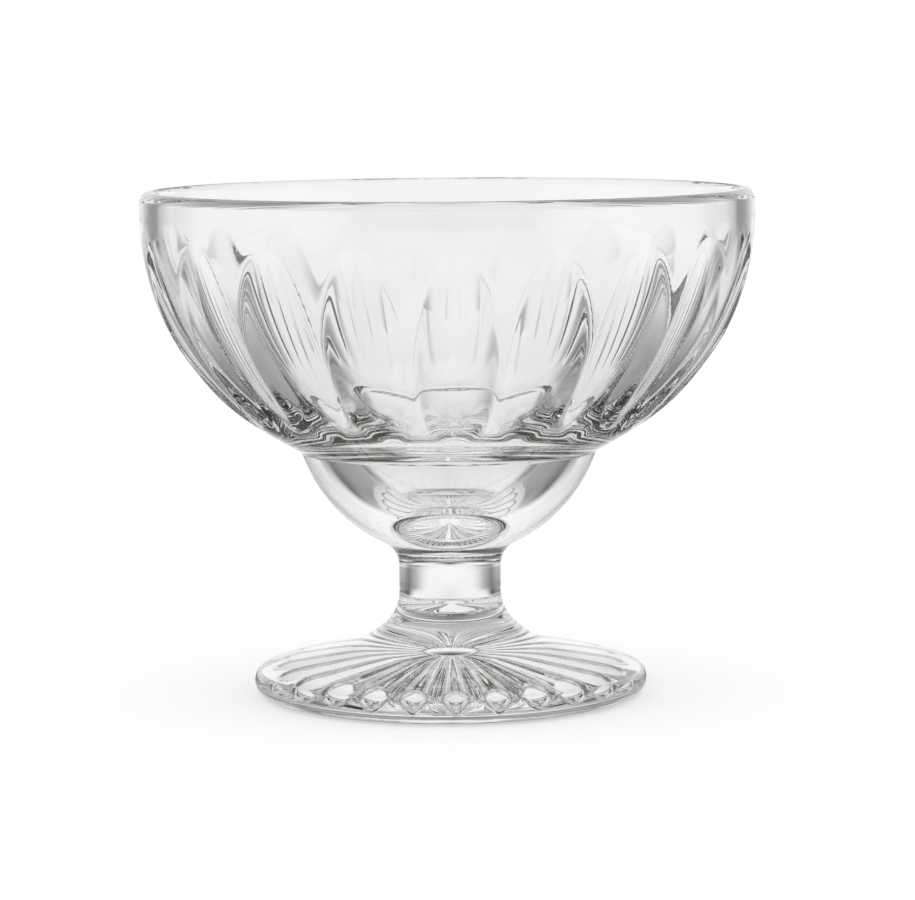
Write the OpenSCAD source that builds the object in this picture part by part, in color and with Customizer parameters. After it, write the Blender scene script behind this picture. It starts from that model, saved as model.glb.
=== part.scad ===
// Footed pressed-glass coupe for ice cream and parfait.
// Three glass pieces fused hot: a fluted bowl with its cup, a spool stem and a round foot with a petal star.
// The axis is Z and the foot rests on Z = 0.

/* [Bowl] */
// Outer diameter of the lip
rim_d = 110; // [104:1:116]
// Wall at the lip, whose top is round from face to face
lip_t = 3.2; // [2.4:0.1:4]
// Radius of the outer part of the lip's round
lip_out_r = 1.8; // [1:0.1:2]
// Height of the upright band from the bowl's round wall to the top of the lip
rim_band = 4.8; // [3:0.1:8]
// Radius of the bowl's round wall, seen from the side
bowl_arc_r = 44.6; // [43:0.1:46.5]
// Slope of the plain band between the cup's corner and the round wall
band_slope = 30.5; // [29:0.5:34]
// Thickness of the bowl's wall at its lowest ring
floor_t = 4.8; // [3.8:0.1:5.6]

/* [Flutes] */
// Number of flutes round the bowl
flute_count = 20; // [18:1:24]
// Depth of each flute at the middle of its length
flute_depth = 1.7; // [1.6:0.1:2.2]
// Radius of each flute's hollow, seen along the flute
flute_r = 20; // [19:0.5:32]
// Angle below the level of the round wall's centre where a flute starts
flute_top_angle = 4; // [3:0.5:8]
// Angle between the lower end of a flute and the plain band
flute_gap_angle = 3.5; // [2:0.5:6]

/* [Cup] */
// Radius of the ball that the cup under the bowl is cut from
cup_r = 28.1; // [27.2:0.1:32]
// Angle below the level of the ball's centre of the corner where the bowl's plain underside meets the cup
cup_top_angle = 18.2; // [16:0.1:21]
// Radius of the hollow inside the cup
well_r = 22.5; // [20:0.5:24]
// Depth of the cup's hollow below the lowest ring of the bowl's wall
well_depth = 13.9; // [11.5:0.1:14.5]
// Radius of the round between the bowl's wall and the cup's hollow
well_round = 2; // [1.5:0.5:8]

/* [Stem] */
// Diameter of the stem's plain middle
stem_d = 18.5; // [16:0.5:21]
// Length of the stem's plain middle
stem_len = 4.6; // [3.5:0.1:20]
// Radius of the hollow round between the stem and the cup
neck_r = 4.8; // [3:0.1:7]
// Radius of the hollow round at the stem's lower end
flare_r = 8; // [6:0.5:9]
// Slope at which the stem's lower round hands over to the foot
flare_slope = 45; // [40:1:52]

/* [Foot] */
// Largest diameter of the foot
foot_d = 71; // [68:1:78]
// Radius of the round from the resting face to the foot's widest line
rest_round = 2.7; // [2:0.1:3.4]
// Radius of the round above the foot's widest line
edge_round = 2; // [1.2:0.1:2.6]
// Radius of the foot's rolled shoulder
shoulder_r = 20; // [16:0.5:22]
// Slope at which the shoulder hands over to the edge
shoulder_slope = 26; // [22:1:30]
// Slope of the foot's plain top
foot_slope = 13.5; // [11:0.5:16]
// Radius of the cove that leads up to the stem
cove_r = 16; // [12:0.5:18]

/* [Petal star] */
// Number of petals pressed into the underside
petal_count = 24; // [18:1:28]
// Radius of the circle that the petals' outer ends touch
petal_reach_r = 30; // [24:0.5:31]
// Radius of the plain hub inside the petals
hub_r = 4; // [3:0.5:7]
// Depth of a petal at its widest
petal_depth = 1.9; // [0.8:0.1:2.4]
// Width of the land between two petals at their widest
petal_land = 0.8; // [0.4:0.1:1.4]

/* [Hidden] */
$fn = 96;
// How far a cut runs past the face that it opens
overrun = 1;
// How far a line reaches into the round that takes over from it, and how much further round the round runs
seat = 0.002;
seat_angle = 6;

rim_r = rim_d / 2;
stem_r = stem_d / 2;
foot_r = foot_d / 2;
lip_in_r = lip_t - lip_out_r;

// A point at a distance and an angle from a centre
function polar(centre, radius, angle) = centre + radius * [cos(angle), sin(angle)];

// The crossing of two circles that lies on the right of the way from the first centre to the second
function crossing(first, first_r, second, second_r) =
    let (way = second - first)
    let (apart = norm(way))
    let (along = (first_r * first_r - second_r * second_r + apart * apart) / (2 * apart))
    let (aside = sqrt(first_r * first_r - along * along))
    first + (along * way + aside * [-way[1], way[0]]) / apart;

// Foot, from the resting face up to the stem
edge_c = [foot_r - edge_round, rest_round];
rest_c = [foot_r - rest_round, rest_round];
shoulder_out = polar(edge_c, edge_round - seat, 90 - shoulder_slope);
shoulder_c = polar(shoulder_out, shoulder_r, 270 - shoulder_slope);
shoulder_in = polar(shoulder_c, shoulder_r - seat, 90 - foot_slope);
foot_joint_r = stem_r + flare_r * (1 - sin(flare_slope));
cove_x = foot_joint_r + cove_r * sin(flare_slope);
cove_end_r = cove_x - cove_r * sin(foot_slope);
cove_end = [cove_end_r, shoulder_in[1] + (shoulder_in[0] - cove_end_r) * tan(foot_slope)];
cove_c = polar(cove_end, cove_r - seat, 90 - foot_slope);
foot_joint = polar(cove_c, cove_r, 270 - flare_slope);

// Stem, from the foot up to the cup
flare_c = [stem_r + flare_r, foot_joint[1] + flare_r * cos(flare_slope)];
neck_c = [stem_r + neck_r, flare_c[1] + stem_len];
cup_c = [0, neck_c[1] + sqrt(pow(cup_r + neck_r, 2) - pow(stem_r + neck_r, 2))];
cup_joint = cup_c + (neck_c - cup_c) * cup_r / (cup_r + neck_r);

// Cup and bowl, from the stem up to the lip
cup_corner = polar(cup_c, cup_r, -cup_top_angle);
bowl_x = rim_r - bowl_arc_r;
bowl_rise = (bowl_arc_r + (bowl_x - cup_corner[0]) * sin(band_slope)) / cos(band_slope);
bowl_c = [bowl_x, cup_corner[1] + bowl_rise];
top_z = bowl_c[1] + rim_band;
lip_out_c = [rim_r - lip_out_r, top_z - lip_out_r];
lip_in_c = [rim_r - lip_out_r, top_z - lip_in_r];
band_top = polar(bowl_c, bowl_arc_r - seat, band_slope - 90);
band_low = cup_corner - overrun * [1 / tan(band_slope), 1];

// Inside of the bowl and the cup
inner_r = bowl_arc_r - floor_t;
inner_c = [rim_r - lip_t - inner_r, bowl_c[1]];
well_c = [0, inner_c[1] - inner_r - well_depth + well_r];
well_edge_c = crossing(inner_c, inner_r + well_round, well_c, well_r + well_round);
well_edge_out = inner_c + (well_edge_c - inner_c) * inner_r / (inner_r + well_round);
well_edge_in = well_c + (well_edge_c - well_c) * well_r / (well_r + well_round);

// Share by which the bar that hollows a flute is longer and wider than the flute
flute_spare_share = 0.1;
// Each flute is part of a ring whose own circle crosses the round wall at the flute's two ends
flute_end_angle = 90 - band_slope - flute_gap_angle;
flute_half_angle = (flute_end_angle - flute_top_angle) / 2;
flute_mid_angle = (flute_end_angle + flute_top_angle) / 2;
flute_half_chord = bowl_arc_r * sin(flute_half_angle);
flute_bulge = bowl_arc_r * (1 - cos(flute_half_angle)) - flute_depth;
flute_path_r = (pow(flute_half_chord, 2) + pow(flute_bulge, 2)) / (2 * flute_bulge);
flute_c = polar(bowl_c, flute_path_r - bowl_arc_r + flute_depth, 180 - flute_mid_angle);
flute_span = asin(flute_half_chord / flute_path_r) * (1 + flute_spare_share);
flute_from = flute_mid_angle - flute_span;
flute_to = flute_mid_angle + flute_span;
flute_half_w = rim_r * sin(180 / flute_count) * (1 + flute_spare_share);

// Each petal widens outwards as a cone slanted from the axis, and ends in a ball that the cone touches
petal_turn = 360 / petal_count;
petal_half_w = (petal_reach_r * sin(petal_turn / 2) - petal_land / 2) / (1 + sin(petal_turn / 2));
petal_ball_r = (pow(petal_half_w, 2) + pow(petal_depth, 2)) / (2 * petal_depth);
petal_ball_x = petal_reach_r - petal_half_w;
petal_ball_z = petal_depth - petal_ball_r;
petal_tilt = atan2(-petal_ball_z, petal_ball_x);
petal_len = norm([petal_ball_x, petal_ball_z]);
petal_spread = asin(petal_ball_r / petal_len);
petal_from = hub_r / cos(petal_tilt);
petal_touch = polar([0, petal_len], petal_ball_r - seat, -petal_spread);

// Slice of a disc between two angles less than half a turn apart
module slice(centre, radius, from, to) {
    far = 2 * radius;
    intersection() {
        translate(centre) circle(r = radius);
        polygon([
            centre,
            polar(centre, far, from),
            polar(centre, far, (from + to) / 2),
            polar(centre, far, to)
        ]);
    }
}

// Half of a disc's right side between two heights
module disc_between(centre, radius, low, high) {
    intersection() {
        translate(centre) circle(r = radius);
        translate([0, low]) square([centre[0] + radius, high - low]);
    }
}

module bowl_outline() {
    polygon([
        [0, band_low[1]],
        band_low,
        band_top,
        [rim_r, bowl_c[1]],
        [rim_r, lip_out_c[1]],
        [lip_out_c[0], top_z],
        [rim_r - lip_t, lip_in_c[1]],
        [0, lip_in_c[1]]
    ]);
    slice(bowl_c, bowl_arc_r, band_slope - 90 - seat_angle, 0);
    slice(lip_out_c, lip_out_r, 0, 90);
    slice(lip_in_c, lip_in_r, 90, 180);
    disc_between(cup_c, cup_r, cup_joint[1], cup_c[1]);
}

module cavity_outline() {
    translate([0, inner_c[1]]) square([rim_r - lip_t, top_z - inner_c[1] + overrun]);
    disc_between(inner_c, inner_r, inner_c[1] - inner_r, inner_c[1]);
    disc_between(well_c, well_r, well_c[1] - well_r, well_c[1]);
    difference() {
        polygon([well_c, well_edge_in, well_edge_c, well_edge_out, inner_c, [0, inner_c[1]]]);
        translate(well_edge_c) circle(r = well_round + seat);
    }
}

// Curved bar that hollows one flute, a little longer than the flute at both ends
module flute() {
    translate([flute_c[0], 0, flute_c[1]])
        rotate([90, 0, 0])
            rotate([0, 0, -flute_to])
                rotate_extrude(angle = flute_to - flute_from)
                    intersection() {
                        translate([flute_path_r + flute_r, 0]) circle(r = flute_r);
                        translate([flute_path_r - overrun, -flute_half_w])
                            square([flute_depth + 2 * overrun, 2 * flute_half_w]);
                    }
}

module bowl() {
    color("lightcyan", 0.6)
        difference() {
            rotate_extrude()
                difference() {
                    bowl_outline();
                    cavity_outline();
                }
            for (i = [0 : flute_count - 1])
                rotate([0, 0, 360 / flute_count * i]) flute();
        }
}

module stem() {
    color("azure", 0.6)
        rotate_extrude()
            difference() {
                polygon([
                    [0, foot_joint[1]],
                    foot_joint + [seat, 0],
                    [stem_r, flare_c[1]],
                    [stem_r, neck_c[1]],
                    cup_joint + [seat, 0],
                    [0, cup_joint[1]]
                ]);
                translate(flare_c) circle(r = flare_r);
                translate(neck_c) circle(r = neck_r);
            }
}

module petal() {
    rotate([0, 90 + petal_tilt, 0])
        rotate_extrude() {
            polygon([
                [0, petal_from],
                [petal_from * tan(petal_spread), petal_from],
                petal_touch,
                [0, petal_len]
            ]);
            slice([0, petal_len], petal_ball_r, -petal_spread - seat_angle, 90);
        }
}

module foot() {
    color("lightblue", 0.6)
        difference() {
            rotate_extrude()
                difference() {
                    union() {
                        polygon([
                            [0, 0],
                            [rest_c[0], 0],
                            [foot_r, rest_round],
                            shoulder_out,
                            shoulder_in,
                            cove_end,
                            foot_joint + [seat, 0],
                            [0, foot_joint[1]]
                        ]);
                        slice(rest_c, rest_round, -90, 0);
                        slice(edge_c, edge_round, 0, 90 - shoulder_slope + seat_angle);
                        intersection() {
                            slice(shoulder_c, shoulder_r, 90 - shoulder_slope, 90 - foot_slope + seat_angle);
                            translate([0, rest_round]) square([foot_r, foot_joint[1]]);
                        }
                    }
                    translate(cove_c) circle(r = cove_r);
                }
            for (i = [0 : petal_count - 1])
                rotate([0, 0, petal_turn * i]) petal();
        }
}

bowl();
stem();
foot();
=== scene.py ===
"""Footed pressed-glass coupe: its three fused glass pieces, a plain white studio and the camera."""
from __future__ import annotations

import logging
import math
from dataclasses import dataclass
from enum import Enum

import bpy
import numpy as np
from mathutils import Matrix, Vector

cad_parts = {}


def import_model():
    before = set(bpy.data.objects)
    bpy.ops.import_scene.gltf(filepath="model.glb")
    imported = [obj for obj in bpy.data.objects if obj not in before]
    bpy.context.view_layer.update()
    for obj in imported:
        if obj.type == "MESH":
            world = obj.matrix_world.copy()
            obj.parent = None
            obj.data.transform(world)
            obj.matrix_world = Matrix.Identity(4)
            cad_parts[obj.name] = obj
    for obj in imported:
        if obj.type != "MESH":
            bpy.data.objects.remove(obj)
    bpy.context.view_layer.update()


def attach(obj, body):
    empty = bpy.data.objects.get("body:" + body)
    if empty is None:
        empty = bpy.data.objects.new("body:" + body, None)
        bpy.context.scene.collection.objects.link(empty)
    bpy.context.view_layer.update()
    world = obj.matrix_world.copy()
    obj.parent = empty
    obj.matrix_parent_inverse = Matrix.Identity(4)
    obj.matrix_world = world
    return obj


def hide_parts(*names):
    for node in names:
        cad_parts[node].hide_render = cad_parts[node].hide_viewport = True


LOG = logging.getLogger("coupe")
MM = 0.001
BODY = "root"
# How far the camera stands round the glass from straight in front, in degrees. The studio turns with it.
CAMERA_TURN = 1.72
# Socket numbers of a colour mix: its first colour, its second colour and its result.
MIX_FIRST, MIX_SECOND, MIX_RESULT = 6, 7, 2
# Lengths below this count as nothing.
TINY = 1e-9

Point = tuple[float, float]


class Skin(Enum):
    """Which finish a stretch of a piece's surface takes."""

    POLISHED = 0
    FUSED = 1


def linear(code: str) -> tuple[float, float, float, float]:
    """Turns an sRGB hex colour to linear.

    Args:
        code: Six hex digits, with or without a leading hash.

    Returns:
        Red, green, blue and an alpha of 1.
    """
    digits = code.lstrip("#")
    channels = [int(digits[i:i + 2], 16) / 255 for i in (0, 2, 4)]
    red, green, blue = [c / 12.92 if c <= 0.04045 else ((c + 0.055) / 1.055) ** 2.4 for c in channels]
    return red, green, blue, 1.0


def add_node(
    tree: bpy.types.NodeTree,
    kind: str,
    settings: dict[str, object] | None = None,
    inputs: dict[str | int, object] | None = None,
) -> bpy.types.Node:
    """Adds a node with its settings, values and links.

    Args:
        tree: The node tree that takes the node.
        kind: The node's type name.
        settings: Attributes of the node, by name.
        inputs: A value or an output socket for each input, by name or number.

    Returns:
        The new node.
    """
    node = tree.nodes.new(kind)
    for name, value in (settings or {}).items():
        setattr(node, name, value)
    for key, value in (inputs or {}).items():
        if isinstance(value, bpy.types.NodeSocket):
            tree.links.new(value, node.inputs[key])
        else:
            node.inputs[key].default_value = value
    return node


def smooth_max(first: np.ndarray, second: np.ndarray | float, softness: float) -> np.ndarray:
    """The larger of two values, with the corner between them rounded.

    Args:
        first: Values.
        second: Values or one value.
        softness: How far from the corner the round begins.

    Returns:
        The rounded maximum.
    """
    apart = first - second
    return (first + second + np.sqrt(apart * apart + softness * softness)) / 2


def ease(values: np.ndarray) -> np.ndarray:
    """Smooth step from 0 to 1."""
    share = np.clip(values, 0, 1)
    return share * share * (3 - 2 * share)


@dataclass
class Strip:
    """A stretch of a turned outline: radius and height along it, and which way its face looks."""

    points: np.ndarray
    normals: np.ndarray
    skin: Skin = Skin.POLISHED
    depth: np.ndarray | None = None


def arc(centre: Point, radius: float, start: float, end: float, count: int) -> Strip:
    """A round stretch of outline. It bulges when its angle grows and is hollow when it falls.

    Args:
        centre: Centre of the arc.
        radius: Radius of the arc.
        start: First angle, in degrees.
        end: Last angle, in degrees.
        count: Number of points.

    Returns:
        The stretch.
    """
    angles = np.radians(np.linspace(start, end, count))
    ways = np.stack([np.cos(angles), np.sin(angles)], axis=1)
    return Strip(np.array(centre) + radius * ways, ways if end > start else -ways)


def line(start: Point, end: Point, count: int, skin: Skin = Skin.POLISHED) -> Strip:
    """A straight stretch of outline.

    Args:
        start: First point.
        end: Last point.
        count: Number of points.
        skin: Finish of the stretch.

    Returns:
        The stretch.
    """
    first, last = np.array(start, float), np.array(end, float)
    points = first + np.linspace(0, 1, count)[:, None] * (last - first)
    way = (last - first) / np.linalg.norm(last - first)
    return Strip(points, np.tile([way[1], -way[0]], (count, 1)), skin)


def polar(centre: Point, radius: float, angle: float) -> Point:
    """The point at a distance and an angle in degrees from a centre."""
    turn = math.radians(angle)
    return centre[0] + radius * math.cos(turn), centre[1] + radius * math.sin(turn)


def heading(centre: Point, point: Point) -> float:
    """The angle in degrees at which a point lies from a centre."""
    return math.degrees(math.atan2(point[1] - centre[1], point[0] - centre[0]))


def toward(start: Point, end: Point, distance: float) -> Point:
    """The point at a distance from the start, on the way to the end."""
    share = distance / math.dist(start, end)
    return start[0] + share * (end[0] - start[0]), start[1] + share * (end[1] - start[1])


@dataclass
class Turning:
    """Turns stretches of outline round the axis into one closed mesh with exact normals."""

    name: str
    columns: int

    @property
    def turns(self) -> np.ndarray:
        """Angle of each column of vertices."""
        return np.arange(self.columns) * (2 * math.pi / self.columns)

    def rings(self, strip: Strip) -> tuple[np.ndarray, np.ndarray]:
        """Places and normals of a strip's vertices.

        Args:
            strip: The stretch of outline, with a depth for each vertex where it is hollowed.

        Returns:
            Two arrays, each rows by columns by three.
        """
        cosine, sine = np.cos(self.turns), np.sin(self.turns)

        def spin(flat: np.ndarray) -> np.ndarray:
            """Turns radius and height round the axis."""
            return np.stack(
                [
                    flat[:, :1] * cosine,
                    flat[:, :1] * sine,
                    np.repeat(flat[:, 1:], self.columns, axis=1),
                ],
                axis=2,
            )

        places, normals = spin(strip.points), spin(strip.normals)
        if strip.depth is None:
            return places, normals
        places = places - strip.depth[:, :, None] * normals
        along = np.gradient(places, axis=0)
        around = np.roll(places, -1, axis=1) - np.roll(places, 1, axis=1)
        facing = np.cross(around, along)
        size = np.linalg.norm(facing, axis=2, keepdims=True)
        flat = size < TINY
        facing = np.where(flat, normals, facing / np.where(flat, 1, size))
        return places, facing

    def build(self, strips: list[Strip]) -> bpy.types.Object:
        """Makes the mesh. The outline runs from the axis, round the outside, back to the axis.

        Args:
            strips: The stretches in order, each starting where the one before it ends.

        Returns:
            The new object, in metres.
        """
        count = self.columns
        vertices: list[np.ndarray] = []
        faces: list[tuple[int, ...]] = []
        shades: list[np.ndarray] = []
        skins: list[int] = []
        columns = np.arange(count)
        after = (columns + 1) % count
        total = 0
        lower: np.ndarray | None = None
        for strip in strips:
            places, normals = self.rings(strip)
            for row in range(len(places)):
                if lower is not None and row == 0:
                    continue
                pole = bool(strip.points[row, 0] < TINY)
                ring = places[row, :1] if pole else places[row]
                upper = np.full(count, total) if pole else total + columns
                vertices.append(ring)
                total += len(ring)
                if lower is not None:
                    under, over = normals[row - 1], normals[row]
                    if lower[0] == lower[-1]:
                        corners = [lower, upper[after], upper]
                        looks = [under, over[after], over]
                    elif pole:
                        corners = [lower, lower[after], upper]
                        looks = [under, under[after], over]
                    else:
                        corners = [lower, lower[after], upper[after], upper]
                        looks = [under, under[after], over[after], over]
                    faces.extend(map(tuple, np.stack(corners, axis=1).tolist()))
                    shades.append(np.stack(looks, axis=1).reshape(-1, 3))
                    skins.extend([strip.skin.value] * count)
                lower = upper
        mesh = bpy.data.meshes.new(self.name)
        mesh.from_pydata((np.concatenate(vertices) * MM).tolist(), [], faces)
        mesh.polygons.foreach_set("material_index", skins)
        mesh.polygons.foreach_set("use_smooth", [True] * len(faces))
        mesh.update()
        mesh.normals_split_custom_set(np.concatenate(shades).tolist())
        piece = bpy.data.objects.new(self.name, mesh)
        bpy.context.scene.collection.objects.link(piece)
        return piece


@dataclass(frozen=True)
class PressedGlass:
    """Soda-lime glass, pressed in a mould and fire-polished.

    Clear and bright, with a faint grey-green in its depth. Fire-polishing leaves a skin that is smooth but
    not quite flat, so what is seen through it swims a little, and thin cords in the melt vary its tint.
    """

    clear: str = "#fefefe"
    cord: str = "#fbfbfa"
    cord_mm: float = 26.0
    cord_swirl: float = 1.2
    cord_span: tuple[float, float] = (0.35, 0.7)
    ior: float = 1.52
    ripple_mm: float = 9.0
    ripple_depth_mm: float = 0.006
    chill_mm: float = 2.2
    chill_depth_mm: float = 0.0006
    haze: float = 0.012
    haze_span: tuple[float, float] = (0.5, 0.8)

    def material(self) -> bpy.types.Material:
        """Makes the material.

        Returns:
            The glass.
        """
        glass = bpy.data.materials.new("pressed soda-lime glass, fire-polished")
        glass.use_nodes = True
        tree = glass.node_tree
        tree.nodes.clear()
        place = add_node(tree, "ShaderNodeTexCoord").outputs["Object"]
        cords = add_node(
            tree,
            "ShaderNodeTexNoise",
            inputs={
                "Vector": place,
                "Scale": 1 / (self.cord_mm * MM),
                "Detail": 2.0,
                "Distortion": self.cord_swirl,
            },
        )
        tint = add_node(tree, "ShaderNodeValToRGB", inputs={"Fac": cords.outputs["Fac"]})
        for stop, at, colour in zip(tint.color_ramp.elements, self.cord_span, (self.clear, self.cord)):
            stop.position = at
            stop.color = linear(colour)
        chill = add_node(
            tree,
            "ShaderNodeTexNoise",
            inputs={"Vector": place, "Scale": 1 / (self.chill_mm * MM), "Detail": 2.0},
        )
        haze = add_node(
            tree,
            "ShaderNodeMapRange",
            inputs={
                "Value": chill.outputs["Fac"],
                "From Min": self.haze_span[0],
                "From Max": self.haze_span[1],
                "To Max": self.haze,
            },
        )
        ripple = add_node(
            tree,
            "ShaderNodeTexNoise",
            inputs={"Vector": place, "Scale": 1 / (self.ripple_mm * MM), "Detail": 1.0},
        )
        swim = add_node(
            tree,
            "ShaderNodeBump",
            inputs={
                "Strength": 1.0,
                "Distance": self.ripple_depth_mm * MM,
                "Height": ripple.outputs["Fac"],
            },
        )
        skin = add_node(
            tree,
            "ShaderNodeBump",
            inputs={
                "Strength": 1.0,
                "Distance": self.chill_depth_mm * MM,
                "Height": chill.outputs["Fac"],
                "Normal": swim.outputs["Normal"],
            },
        )
        body = add_node(
            tree,
            "ShaderNodeBsdfPrincipled",
            inputs={
                "Base Color": tint.outputs["Color"],
                "Roughness": haze.outputs["Result"],
                "IOR": self.ior,
                "Transmission Weight": 1.0,
                "Normal": skin.outputs["Normal"],
            },
        )
        add_node(tree, "ShaderNodeOutputMaterial", inputs={"Surface": body.outputs["BSDF"]})
        return glass


@dataclass(frozen=True)
class FusedJoint:
    """Glass fused hot to glass.

    Nothing is left of the joint's two faces, so the eye sees one body of glass and light passes unbent.
    """

    def material(self) -> bpy.types.Material:
        """Makes the material.

        Returns:
            The unseen joint.
        """
        joint = bpy.data.materials.new("fused glass joint, unseen")
        joint.use_nodes = True
        tree = joint.node_tree
        tree.nodes.clear()
        through = add_node(tree, "ShaderNodeBsdfTransparent")
        add_node(tree, "ShaderNodeOutputMaterial", inputs={"Surface": through.outputs["BSDF"]})
        return joint


class GlassPiece:
    """A piece of the coupe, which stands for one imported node."""

    node = ""

    def build(self) -> bpy.types.Object:
        """Makes the piece's mesh."""
        raise NotImplementedError

    def dress(self, piece: bpy.types.Object, finishes: list[bpy.types.Material]) -> None:
        """Gives the built piece its finishes and its place in the frame.

        Args:
            piece: The glass piece.
            finishes: A material for each skin, in the order of the skins' numbers.
        """
        for finish in finishes:
            piece.data.materials.append(finish)
        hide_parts(self.node)
        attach(piece, BODY)
        LOG.info("%s: %d faces, stands for %s", piece.name, len(piece.data.polygons), self.node)


@dataclass
class Foot(GlassPiece):
    """The pressed round foot with the petal star underneath.

    Lengths are in millimetres, angles in degrees.
    """

    node = "foot"
    diameter: float = 71.0
    rest_round: float = 2.7
    edge_round: float = 2.0
    shoulder_r: float = 20.0
    shoulder_slope: float = 26.0
    slope: float = 13.5
    cove_r: float = 16.0
    stem_r: float = 9.25
    flare_r: float = 8.0
    flare_slope: float = 45.0
    petals: int = 24
    petal_reach: float = 30.0
    hub_r: float = 4.0
    petal_depth: float = 1.9
    petal_land: float = 0.8
    land_soft: float = 0.12
    hub_soft: float = 0.8
    rim_soft: float = 1.5
    star_rows: int = 62
    columns_per_petal: int = 30

    def __post_init__(self) -> None:
        """Works out the outline's centres and ends, from the rest face up."""
        radius = self.diameter / 2
        self.edge_c: Point = (radius - self.edge_round, self.rest_round)
        self.rest_c: Point = (radius - self.rest_round, self.rest_round)
        out = polar(self.edge_c, self.edge_round, 90 - self.shoulder_slope)
        self.shoulder_c: Point = polar(out, self.shoulder_r, 270 - self.shoulder_slope)
        self.shoulder_in: Point = polar(self.shoulder_c, self.shoulder_r, 90 - self.slope)
        flare = math.sin(math.radians(self.flare_slope))
        pitch = math.radians(self.slope)
        joint_r = self.stem_r + self.flare_r * (1 - flare)
        end_r = joint_r + self.cove_r * (flare - math.sin(pitch))
        end_z = self.shoulder_in[1] + (self.shoulder_in[0] - end_r) * math.tan(pitch)
        self.cove_end: Point = (end_r, end_z)
        self.cove_c: Point = polar(self.cove_end, self.cove_r, 90 - self.slope)
        self.joint: Point = polar(self.cove_c, self.cove_r, 270 - self.flare_slope)

    def petal_relief(self, radii: np.ndarray, turns: np.ndarray) -> np.ndarray:
        """Depth of the petal star under each point of the rest plane.

        Args:
            radii: Distance of each row from the axis.
            turns: Angle of each column.

        Returns:
            Depth by row and column.
        """
        half_turn = math.pi / self.petals
        off = np.mod(turns + half_turn, 2 * half_turn) - half_turn
        along = radii[:, None] * np.cos(off)
        aside = radii[:, None] * np.sin(off)
        sine = math.sin(half_turn)
        half_w = (self.petal_reach * sine - self.petal_land / 2) / (1 + sine)
        ball_r = (half_w ** 2 + self.petal_depth ** 2) / (2 * self.petal_depth)
        ball_x, ball_z = self.petal_reach - half_w, self.petal_depth - ball_r
        length = math.hypot(ball_x, ball_z)
        tilt_c, tilt_s = ball_x / length, -ball_z / length
        spread = math.asin(ball_r / length)
        narrow = math.cos(spread) ** 2
        square = tilt_s ** 2 - narrow
        half_linear = -along * tilt_c * tilt_s
        constant = (along * tilt_c) ** 2 - (along ** 2 + aside ** 2) * narrow
        root = np.sqrt(np.maximum(half_linear ** 2 - square * constant, 0))
        cone = (-half_linear - root) / square
        touch = length - ball_r * math.sin(spread)
        inside = ball_r ** 2 - (along - ball_x) ** 2 - aside ** 2
        ball = ball_z + np.sign(inside) * np.sqrt(np.abs(inside))
        past = along * tilt_c - cone * tilt_s > touch
        depth = smooth_max(np.where(past, ball, cone), 0.0, self.land_soft) - self.land_soft / 8
        hub = ease((radii - self.hub_r + self.hub_soft / 2) / self.hub_soft)[:, None]
        rim = ease((self.rest_c[0] - radii) / self.rim_soft)[:, None]
        return np.maximum(depth, 0) * hub * rim

    def build(self) -> bpy.types.Object:
        """Makes the foot.

        Returns:
            The foot's object.
        """
        turning = Turning("foot_glass", self.petals * self.columns_per_petal)
        under = line((0, 0), (self.rest_c[0], 0), self.star_rows)
        under.depth = self.petal_relief(under.points[:, 0], turning.turns)
        strips = [
            under,
            arc(self.rest_c, self.rest_round, -90, 0, 9),
            arc(self.edge_c, self.edge_round, 0, 90 - self.shoulder_slope, 7),
            arc(self.shoulder_c, self.shoulder_r, 90 - self.shoulder_slope, 90 - self.slope, 6),
            line(self.shoulder_in, self.cove_end, 6),
            arc(self.cove_c, self.cove_r, 270 - self.slope, 270 - self.flare_slope, 10),
            line(self.joint, (0, self.joint[1]), 2, Skin.FUSED),
        ]
        return turning.build(strips)


@dataclass
class Stem(GlassPiece):
    """The short solid spool between foot and cup. Lengths are in millimetres."""

    node = "stem"
    foot: Foot
    plain: float = 4.6
    neck_r: float = 4.8
    cup_r: float = 28.1
    columns: int = 256

    def __post_init__(self) -> None:
        """Works out the two hollow rounds and the joint with the cup."""
        foot = self.foot
        rise = foot.flare_r * math.cos(math.radians(foot.flare_slope))
        self.flare_c: Point = (foot.stem_r + foot.flare_r, foot.joint[1] + rise)
        self.neck_c: Point = (foot.stem_r + self.neck_r, self.flare_c[1] + self.plain)
        reach = self.cup_r + self.neck_r
        self.cup_c: Point = (0.0, self.neck_c[1] + math.sqrt(reach ** 2 - self.neck_c[0] ** 2))
        self.joint: Point = toward(self.cup_c, self.neck_c, self.cup_r)

    def build(self) -> bpy.types.Object:
        """Makes the stem.

        Returns:
            The stem's object.
        """
        foot = self.foot
        low, high = foot.joint, self.joint
        strips = [
            line((0, low[1]), low, 2, Skin.FUSED),
            arc(self.flare_c, foot.flare_r, 180 + foot.flare_slope, 180, 16),
            line((foot.stem_r, self.flare_c[1]), (foot.stem_r, self.neck_c[1]), 6),
            arc(self.neck_c, self.neck_r, 180, heading(self.neck_c, high), 16),
            line(high, (0, high[1]), 2, Skin.FUSED),
        ]
        return Turning("stem_glass", self.columns).build(strips)


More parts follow.
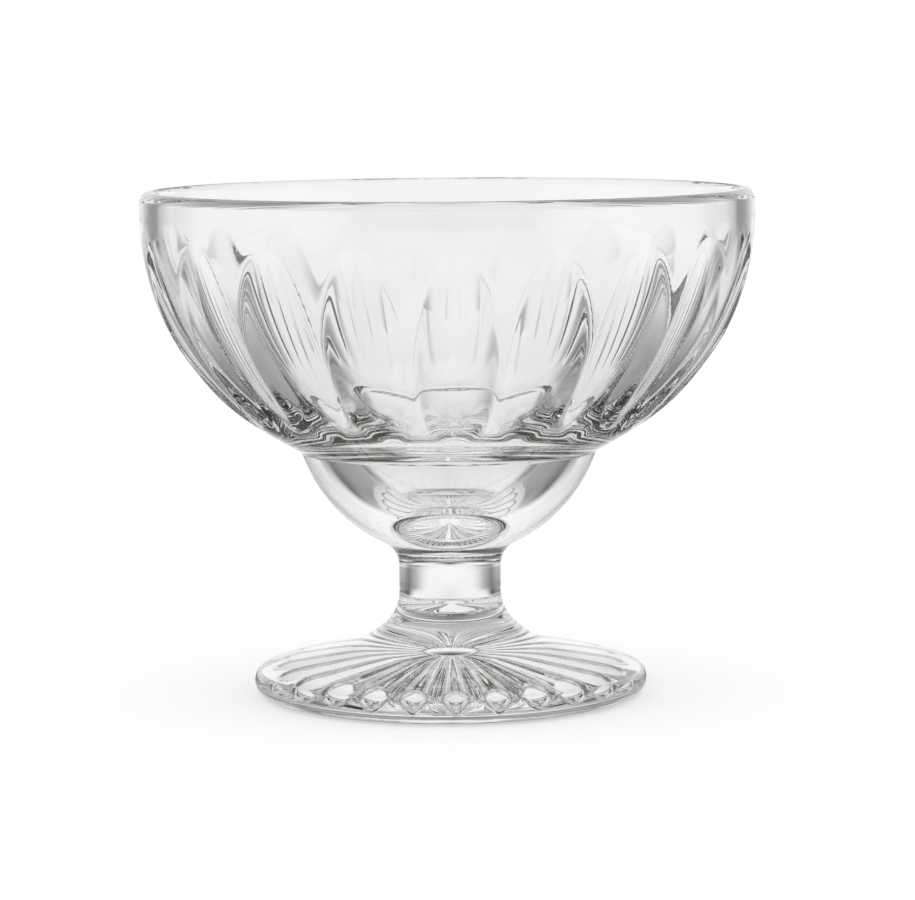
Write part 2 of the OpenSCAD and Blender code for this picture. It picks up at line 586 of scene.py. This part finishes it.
@dataclass
class Bowl(GlassPiece):
    """The pressed bowl: cup, plain band, flutes, lip and well.

    Lengths are in millimetres, angles in degrees.
    """

    node = "bowl"
    stem: Stem
    rim_d: float = 110.0
    lip_t: float = 3.2
    lip_out_r: float = 1.8
    rim_band: float = 4.8
    arc_r: float = 44.6
    band_slope: float = 30.5
    floor_t: float = 4.8
    cup_top_angle: float = 18.2
    corner_round: float = 0.7
    flutes: int = 20
    flute_depth: float = 1.7
    flute_r: float = 20.0
    flute_top: float = 4.0
    flute_gap: float = 3.5
    ridge_soft: float = 0.77
    tip_soft: float = 0.15
    cut_steps: int = 6
    cut_share: float = 0.9
    end_fade: float = 0.04
    wall_rows: int = 64
    well_r: float = 22.5
    well_depth: float = 13.9
    well_round: float = 2.0
    columns_per_flute: int = 30

    def __post_init__(self) -> None:
        """Works out the outline's centres and ends, from the cup up to the lip and down to the well."""
        cup_c, cup_r = self.stem.cup_c, self.stem.cup_r
        rim_r = self.rim_d / 2
        slope = math.radians(self.band_slope)
        corner = polar(cup_c, cup_r, -self.cup_top_angle)
        across = rim_r - self.arc_r
        rise = (self.arc_r + (across - corner[0]) * math.sin(slope)) / math.cos(slope)
        self.arc_c: Point = (across, corner[1] + rise)
        self.band_top: Point = polar(self.arc_c, self.arc_r, self.band_slope - 90)
        way = np.array([math.cos(slope), math.sin(slope)])
        out = np.array([math.sin(slope), -math.cos(slope)])
        start = np.array(corner) + self.corner_round * out - np.array(cup_c)
        along = float(start @ way)
        reach = cup_r + self.corner_round
        run = -along + math.sqrt(along ** 2 - float(start @ start) + reach ** 2)
        centre = start + run * way + np.array(cup_c)
        self.corner_c: Point = (float(centre[0]), float(centre[1]))
        self.corner_low: Point = toward(cup_c, self.corner_c, cup_r)
        high = centre - self.corner_round * out
        self.corner_high: Point = (float(high[0]), float(high[1]))
        lip_in_r = self.lip_t - self.lip_out_r
        top = self.arc_c[1] + self.rim_band
        self.lip_out_c: Point = (rim_r - self.lip_out_r, top - self.lip_out_r)
        self.lip_in_c: Point = (rim_r - self.lip_out_r, top - lip_in_r)
        self.inner_r: float = self.arc_r - self.floor_t
        self.inner_c: Point = (rim_r - self.lip_t - self.inner_r, self.arc_c[1])
        self.well_c: Point = (0.0, self.inner_c[1] - self.inner_r - self.well_depth + self.well_r)
        first_r, second_r = self.inner_r + self.well_round, self.well_r + self.well_round
        apart = math.dist(self.inner_c, self.well_c)
        share = (first_r ** 2 - second_r ** 2 + apart ** 2) / (2 * apart)
        aside = math.sqrt(first_r ** 2 - share ** 2)
        ahead = toward((0.0, 0.0), (self.well_c[0] - self.inner_c[0], self.well_c[1] - self.inner_c[1]), 1.0)
        self.well_edge_c: Point = (
            self.inner_c[0] + share * ahead[0] - aside * ahead[1],
            self.inner_c[1] + share * ahead[1] + aside * ahead[0],
        )

    def flute_relief(self, strip: Strip, turns: np.ndarray) -> np.ndarray:
        """Depth of the flutes under each point of the bowl's round wall.

        Args:
            strip: The round wall's outline.
            turns: Angle of each column.

        Returns:
            Depth by row and column, with soft ridges between the flutes.
        """
        end = 90 - self.band_slope - self.flute_gap
        half = math.radians((end - self.flute_top) / 2)
        middle = (end + self.flute_top) / 2
        chord = self.arc_r * math.sin(half)
        bulge = self.arc_r * (1 - math.cos(half)) - self.flute_depth
        path_r = (chord ** 2 + bulge ** 2) / (2 * bulge)
        centre = polar(self.arc_c, path_r - self.arc_r + self.flute_depth, 180 - middle)
        half_turn = math.pi / self.flutes
        off = np.mod(turns + half_turn, 2 * half_turn) - half_turn

        def cut(away: np.ndarray) -> np.ndarray:
            """Depth of the flute that lies a turn away, found step by step along the wall's normals."""
            depth = np.zeros((len(strip.points), len(turns)))
            for _ in range(self.cut_steps):
                radius = strip.points[:, :1] - depth * strip.normals[:, :1]
                height = strip.points[:, 1:] - depth * strip.normals[:, 1:]
                aside = radius * np.sin(away)
                reach = np.hypot(radius * np.cos(away) - centre[0], height - centre[1])
                hollow = self.flute_r - np.sqrt(np.maximum(self.flute_r ** 2 - aside ** 2, 0))
                depth = depth + self.cut_share * (reach - path_r - hollow)
            return depth

        own = cut(off)
        next_one = cut(off - np.sign(off + TINY) * 2 * half_turn)
        depth = smooth_max(smooth_max(own, next_one, self.ridge_soft), 0.0, self.tip_soft)
        count = len(strip.points)
        rows = np.arange(count) / (count - 1)
        window = ease(rows / self.end_fade) * ease((1 - rows) / self.end_fade)
        return depth * window[:, None]

    def build(self) -> bpy.types.Object:
        """Makes the bowl.

        Returns:
            The bowl's object.
        """
        stem = self.stem
        turning = Turning("bowl_glass", self.flutes * self.columns_per_flute)
        rim_r = self.rim_d / 2
        low = stem.joint
        wall = arc(self.arc_c, self.arc_r, self.band_slope - 90, 0, self.wall_rows)
        wall.depth = self.flute_relief(wall, turning.turns)
        inner_x = rim_r - self.lip_t
        strips = [
            line((0, low[1]), low, 2, Skin.FUSED),
            arc(stem.cup_c, stem.cup_r, heading(stem.cup_c, low), heading(stem.cup_c, self.corner_low), 14),
            arc(
                self.corner_c,
                self.corner_round,
                heading(self.corner_c, self.corner_low) % 360,
                heading(self.corner_c, self.corner_high) % 360,
                6,
            ),
            line(self.corner_high, self.band_top, 4),
            wall,
            line((rim_r, self.arc_c[1]), (rim_r, self.lip_out_c[1]), 3),
            arc(self.lip_out_c, self.lip_out_r, 0, 90, 9),
            arc(self.lip_in_c, self.lip_t - self.lip_out_r, 90, 180, 8),
            line((inner_x, self.lip_in_c[1]), (inner_x, self.inner_c[1]), 3),
            arc(self.inner_c, self.inner_r, 0, heading(self.inner_c, self.well_edge_c), 34),
            arc(
                self.well_edge_c,
                self.well_round,
                heading(self.well_edge_c, self.inner_c),
                heading(self.well_edge_c, self.well_c),
                8,
            ),
            arc(self.well_c, self.well_r, heading(self.well_c, self.well_edge_c), -90, 24),
        ]
        strips[-1].points[-1, 0] = 0.0
        return turning.build(strips)


# Bearings, in degrees, at which a ring of the studio gives its level of light.
BEARINGS = (0, 15, 28, 40, 55, 75, 95, 120, 150, 180)


def grey(percent: float) -> tuple[float, float, float, float]:
    """A level of light in percent as a linear grey."""
    return (percent / 100, percent / 100, percent / 100, 1.0)


@dataclass(frozen=True)
class Ring:
    """How bright the studio is round the glass: a level at each bearing, from 0 for shade to 100 for white.

    A ring of the sky lies at a height in degrees, a ring of the floor at a distance in millimetres. Bearing 0
    is straight behind the glass, 90 is to either side and 180 is at the camera.
    """

    at: float
    levels: tuple[int, ...]

    def ramp(self, tree: bpy.types.NodeTree, bearing: bpy.types.NodeSocket) -> bpy.types.NodeSocket:
        """Adds the ring to a node tree.

        Args:
            tree: The node tree.
            bearing: A socket that runs from 0 to 1 as the bearing runs from 0 to 180.

        Returns:
            The socket that gives the level.
        """
        node = add_node(tree, "ShaderNodeValToRGB", inputs={"Fac": bearing})
        stops = node.color_ramp.elements
        stops[0].color = grey(self.levels[0])
        stops[1].color = grey(self.levels[-1])
        for degrees, level in zip(BEARINGS[1:-1], self.levels[1:-1]):
            stops.new(degrees / 180).color = grey(level)
        return node.outputs["Color"]


@dataclass(frozen=True)
class StudioLight:
    """What the glass sees round it: a white room that is dimmer at its sides and overhead.

    Clear glass shows its form only by what it bends and mirrors, so the dimmer parts draw its edges. The
    floor rings also hold painted shadow of the glass round its foot and painted light under the foot.
    """

    shade: str = "#2b2d22"
    white: float = 97.0
    edge: tuple[float, float] = (0.23, 0.57)
    sky: tuple[Ring, ...] = (
        Ring(2, (63, 50, 35, 35, 48, 48, 48, 48, 35, 35)),
        Ring(9, (41, 65, 63, 44, 48, 48, 48, 48, 35, 35)),
        Ring(18, (27, 47, 45, 36, 34, 34, 34, 34, 34, 34)),
        Ring(30, (38, 41, 26, 19, 16, 10, 9, 8, 10, 12)),
        Ring(46, (45, 45, 33, 23, 25, 20, 13, 9, 8, 9)),
        Ring(66, (46, 51, 43, 31, 25, 28, 21, 12, 9, 10)),
    )
    # The floor rings are painted light and shade: close to the glass they paint its shadow, darker about 40
    # mm out round the foot, and the light that comes through the foot onto the floor under it.
    ground: tuple[Ring, ...] = (
        Ring(24, (56, 43, 47, 53, 59, 54, 51, 55, 57, 48)),
        Ring(40, (31, 42, 62, 42, 34, 36, 38, 36, 24, 28)),
        Ring(60, (49, 55, 57, 27, 34, 36, 38, 36, 30, 35)),
        Ring(110, (49, 57, 39, 31, 34, 36, 38, 36, 35, 49)),
        Ring(240, (65, 51, 42, 35, 48, 48, 48, 48, 48, 53)),
        Ring(900, (64, 64, 35, 35, 48, 48, 48, 48, 45, 46)),
    )

    def bearing(self, tree: bpy.types.NodeTree, way: bpy.types.NodeSocket) -> bpy.types.NodeSocket:
        """A socket that runs from 0 to 1 as a vector turns from 0 to 180 degrees, to either side.

        Args:
            tree: The node tree.
            way: The vector's socket.

        Returns:
            The socket.
        """
        turned = add_node(
            tree,
            "ShaderNodeVectorRotate",
            {"rotation_type": "Z_AXIS"},
            {"Vector": way, "Angle": math.radians(CAMERA_TURN)},
        )
        split = add_node(tree, "ShaderNodeSeparateXYZ", inputs={"Vector": turned.outputs["Vector"]})
        angle = add_node(
            tree,
            "ShaderNodeMath",
            {"operation": "ARCTAN2"},
            {0: split.outputs["X"], 1: split.outputs["Y"]},
        )
        aside = add_node(tree, "ShaderNodeMath", {"operation": "ABSOLUTE"}, {0: angle.outputs["Value"]})
        share = add_node(
            tree,
            "ShaderNodeMapRange",
            inputs={"Value": aside.outputs["Value"], "From Min": 0.0, "From Max": math.pi},
        )
        return share.outputs["Result"]

    def stack(
        self,
        tree: bpy.types.NodeTree,
        rings: tuple[Ring, ...],
        unit: float,
        value: bpy.types.NodeSocket,
        bearing: bpy.types.NodeSocket,
    ) -> bpy.types.NodeSocket:
        """Fades from ring to ring as a height or a distance grows, and draws the edges of dim parts crisp.

        Args:
            tree: The node tree.
            rings: The rings, from low to high.
            unit: What the rings' places are multiplied by to be compared with the value.
            value: The height or the distance.
            bearing: The bearing, from 0 to 1.

        Returns:
            The socket that gives the colour.
        """
        colour = rings[0].ramp(tree, bearing)
        for lower, upper in zip(rings, rings[1:]):
            share = add_node(
                tree,
                "ShaderNodeMapRange",
                inputs={"Value": value, "From Min": lower.at * unit, "From Max": upper.at * unit},
            )
            colour = add_node(
                tree,
                "ShaderNodeMix",
                {"data_type": "RGBA"},
                {
                    "Factor": share.outputs["Result"],
                    MIX_FIRST: colour,
                    MIX_SECOND: upper.ramp(tree, bearing),
                },
            ).outputs[MIX_RESULT]
        crisp = add_node(
            tree,
            "ShaderNodeMapRange",
            {"interpolation_type": "SMOOTHSTEP"},
            {"Value": colour, "From Min": self.edge[0], "From Max": self.edge[1]},
        )
        return add_node(
            tree,
            "ShaderNodeMix",
            {"data_type": "RGBA"},
            {
                "Factor": crisp.outputs["Result"],
                MIX_FIRST: linear(self.shade),
                MIX_SECOND: grey(self.white),
            },
        ).outputs[MIX_RESULT]

    def bent(self, tree: bpy.types.NodeTree) -> bpy.types.NodeSocket:
        """A socket that is 1 for what is seen in the glass or mirrored by it, and 0 for straight views.

        Args:
            tree: The node tree.

        Returns:
            The socket.
        """
        path = add_node(tree, "ShaderNodeLightPath")
        both = add_node(
            tree,
            "ShaderNodeMath",
            {"operation": "MAXIMUM"},
            {0: path.outputs["Is Glossy Ray"], 1: path.outputs["Is Transmission Ray"]},
        )
        return both.outputs["Value"]


@dataclass(frozen=True)
class WhitePaper:
    """Matt white paper, laid flat as the floor.

    It is white to the eye and keeps a soft shadow. In the glass it shows painted light and shade instead: it
    glows with the floor rings, which paint the glass's shadow round its foot and light under it.
    """

    albedo: str = "#c8c8c8"
    lift: float = 0.52

    def material(self, light: StudioLight) -> bpy.types.Material:
        """Makes the material.

        Args:
            light: The studio's light, for what is seen of the paper in the glass.

        Returns:
            The paper.
        """
        paper = bpy.data.materials.new("white paper sweep, matt")
        paper.use_nodes = True
        tree = paper.node_tree
        tree.nodes.clear()
        path = add_node(tree, "ShaderNodeLightPath")
        matt = add_node(tree, "ShaderNodeBsdfDiffuse", inputs={"Color": linear(self.albedo)})
        level = add_node(
            tree,
            "ShaderNodeMath",
            {"operation": "MULTIPLY"},
            {0: path.outputs["Is Camera Ray"], 1: self.lift},
        )
        lift = add_node(tree, "ShaderNodeEmission", inputs={"Strength": level.outputs["Value"]})
        straight = add_node(
            tree, "ShaderNodeAddShader", inputs={0: matt.outputs["BSDF"], 1: lift.outputs["Emission"]}
        )
        # What the glass sees of the paper is painted: an emission with the floor rings' painted shadow and
        # light, not the paper as it is lit.
        place = add_node(tree, "ShaderNodeTexCoord").outputs["Object"]
        away = add_node(tree, "ShaderNodeVectorMath", {"operation": "LENGTH"}, {0: place})
        floor_painted_light_and_shade = light.stack(tree, light.ground, MM, away.outputs["Value"], light.bearing(tree, place))
        glow = add_node(tree, "ShaderNodeEmission", inputs={"Color": floor_painted_light_and_shade})
        seen = add_node(
            tree,
            "ShaderNodeMixShader",
            inputs={0: light.bent(tree), 1: straight.outputs["Shader"], 2: glow.outputs["Emission"]},
        )
        add_node(tree, "ShaderNodeOutputMaterial", inputs={"Surface": seen.outputs["Shader"]})
        return paper


@dataclass
class Studio:
    """The paper floor, the surroundings and the view settings. The floor lies just under the glass."""

    light: StudioLight = StudioLight()
    paper: WhitePaper = WhitePaper()
    floor_size: float = 3.0
    floor_drop_mm: float = 0.2
    bounces: int = 32
    mirror_bounces: int = 16
    joint_bounces: int = 64

    def floor(self) -> bpy.types.Object:
        """Makes the pale paper floor, which takes the glass's shadow.

        Returns:
            The floor.
        """
        half = self.floor_size / 2
        mesh = bpy.data.meshes.new("studio_floor")
        corners = [(-half, -half), (half, -half), (half, half), (-half, half)]
        mesh.from_pydata([(x, y, -self.floor_drop_mm * MM) for x, y in corners], [], [(0, 1, 2, 3)])
        floor = bpy.data.objects.new("studio_floor", mesh)
        bpy.context.scene.collection.objects.link(floor)
        mesh.materials.append(self.paper.material(self.light))
        return floor

    def surroundings(self) -> None:
        """Makes the world: even white to the eye and the paper, with dimmer parts to the glass."""
        world = bpy.data.worlds.new("studio_surroundings")
        bpy.context.scene.world = world
        world.use_nodes = True
        tree = world.node_tree
        tree.nodes.clear()
        way = add_node(tree, "ShaderNodeTexCoord").outputs["Generated"]
        split = add_node(tree, "ShaderNodeSeparateXYZ", inputs={"Vector": way})
        rise = add_node(tree, "ShaderNodeMath", {"operation": "ARCSINE"}, {0: split.outputs["Z"]})
        light = self.light
        sky = light.stack(tree, light.sky, math.radians(1), rise.outputs["Value"], light.bearing(tree, way))
        shown = add_node(
            tree,
            "ShaderNodeMix",
            {"data_type": "RGBA"},
            {"Factor": light.bent(tree), MIX_FIRST: grey(100), MIX_SECOND: sky},
        )
        glow = add_node(tree, "ShaderNodeBackground", inputs={"Color": shown.outputs[MIX_RESULT]})
        add_node(tree, "ShaderNodeOutputWorld", inputs={"Surface": glow.outputs["Background"]})

    def build(self) -> None:
        """Makes floor, surroundings and view settings."""
        scene = bpy.context.scene
        scene.view_settings.view_transform = "Standard"
        scene.cycles.max_bounces = self.bounces
        scene.cycles.transmission_bounces = self.bounces
        scene.cycles.glossy_bounces = self.mirror_bounces
        scene.cycles.transparent_max_bounces = self.joint_bounces
        self.floor()
        self.surroundings()


@dataclass
class Viewpoint:
    """The camera, at the photograph's angle. Lengths are in millimetres, angles in degrees."""

    distance: float = 654.65
    height: float = 117.54
    turn: float = CAMERA_TURN
    aim_aside: float = 1.53
    aim_height: float = 43.97
    lens: float = 143.6
    sensor: float = 36.0
    roll: float = -0.45

    def build(self) -> bpy.types.Object:
        """Makes the scene's camera.

        Returns:
            The camera.
        """
        data = bpy.data.cameras.new("front_camera")
        data.lens = self.lens
        data.sensor_width = self.sensor
        data.sensor_fit = "HORIZONTAL"
        data.clip_start = 0.01
        camera = bpy.data.objects.new("front_camera", data)
        bpy.context.scene.collection.objects.link(camera)
        spin = Matrix.Rotation(math.radians(-self.turn), 3, "Z")
        eye = spin @ Vector((0.0, -self.distance, self.height)) * MM
        aim = spin @ Vector((self.aim_aside, 0.0, self.aim_height)) * MM - eye
        turn = aim.to_track_quat("-Z", "Y").to_matrix().to_4x4()
        roll = Matrix.Rotation(math.radians(self.roll), 4, "Z")
        camera.matrix_world = Matrix.Translation(eye) @ turn @ roll
        bpy.context.scene.camera = camera
        return camera


def main() -> None:
    """Builds the studio, the camera and the glass pieces, and notes the sizes."""
    logging.basicConfig(level=logging.INFO, format="%(name)s: %(message)s")
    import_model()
    Studio().build()
    Viewpoint().build()
    finishes = [PressedGlass().material(), FusedJoint().material()]
    foot = Foot()
    stem = Stem(foot)
    for part in (foot, stem, Bowl(stem)):
        part.dress(part.build(), finishes)


if __name__ == "__main__":
    main()
